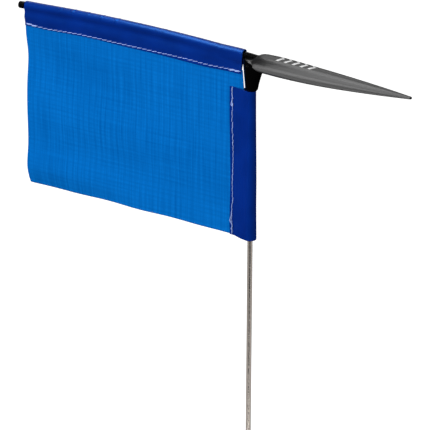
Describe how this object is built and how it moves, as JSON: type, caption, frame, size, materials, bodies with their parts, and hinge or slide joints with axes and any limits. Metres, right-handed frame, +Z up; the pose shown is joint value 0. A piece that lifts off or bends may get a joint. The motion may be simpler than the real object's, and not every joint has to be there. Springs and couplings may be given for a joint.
{
  "type": "racing burgee",
  "caption": "Masthead wind indicator: a rectangular cloth flag on an arched boom with a dart-shaped counterweight, swinging freely on a slim steel rod.",
  "frame": {"origin": "centre of the mast rod's lower end", "axes": "+Z up the mast rod, +X from the rod towards the counterweight's tip, the flag streams towards -X in the XZ plane"},
  "size_m": [0.2783, 0.0126, 0.4594],
  "materials": {
    "rod_steel": "bright drawn stainless steel",
    "ring_steel": "plain spring steel",
    "hub_plastic": "black moulded plastic",
    "dart_plastic": "satin moulded plastic",
    "bush_plastic": "turned acetal",
    "boom_rod": "satin black rod",
    "ripstop_cloth": "woven ripstop nylon",
    "sleeve_cloth": "coated glossy cloth",
    "thread": "bonded polyester thread"
  },
  "bodies": {
    "mast": {"mast_rod": "rod_steel", "retaining_ring": "ring_steel"},
    "vane": {"swivel_hub": "hub_plastic", "counterweight_dart": "dart_plastic", "bearing_bush": "bush_plastic", "boom": "boom_rod", "flag_panel": "ripstop_cloth", "top_sleeve": "sleeve_cloth", "hoist_sleeve": "sleeve_cloth", "top_seam_thread": "thread", "hoist_seam_thread": "thread", "fly_back_tack": "thread", "hub_back_tack": "thread"}
  },
  "joints": [
    {"name": "vane_spin", "type": "hinge", "parent": "mast", "child": "vane", "pos_m": [0, 0, 0.451], "axis": [0, 0, 1], "continuous": true}
  ]
}
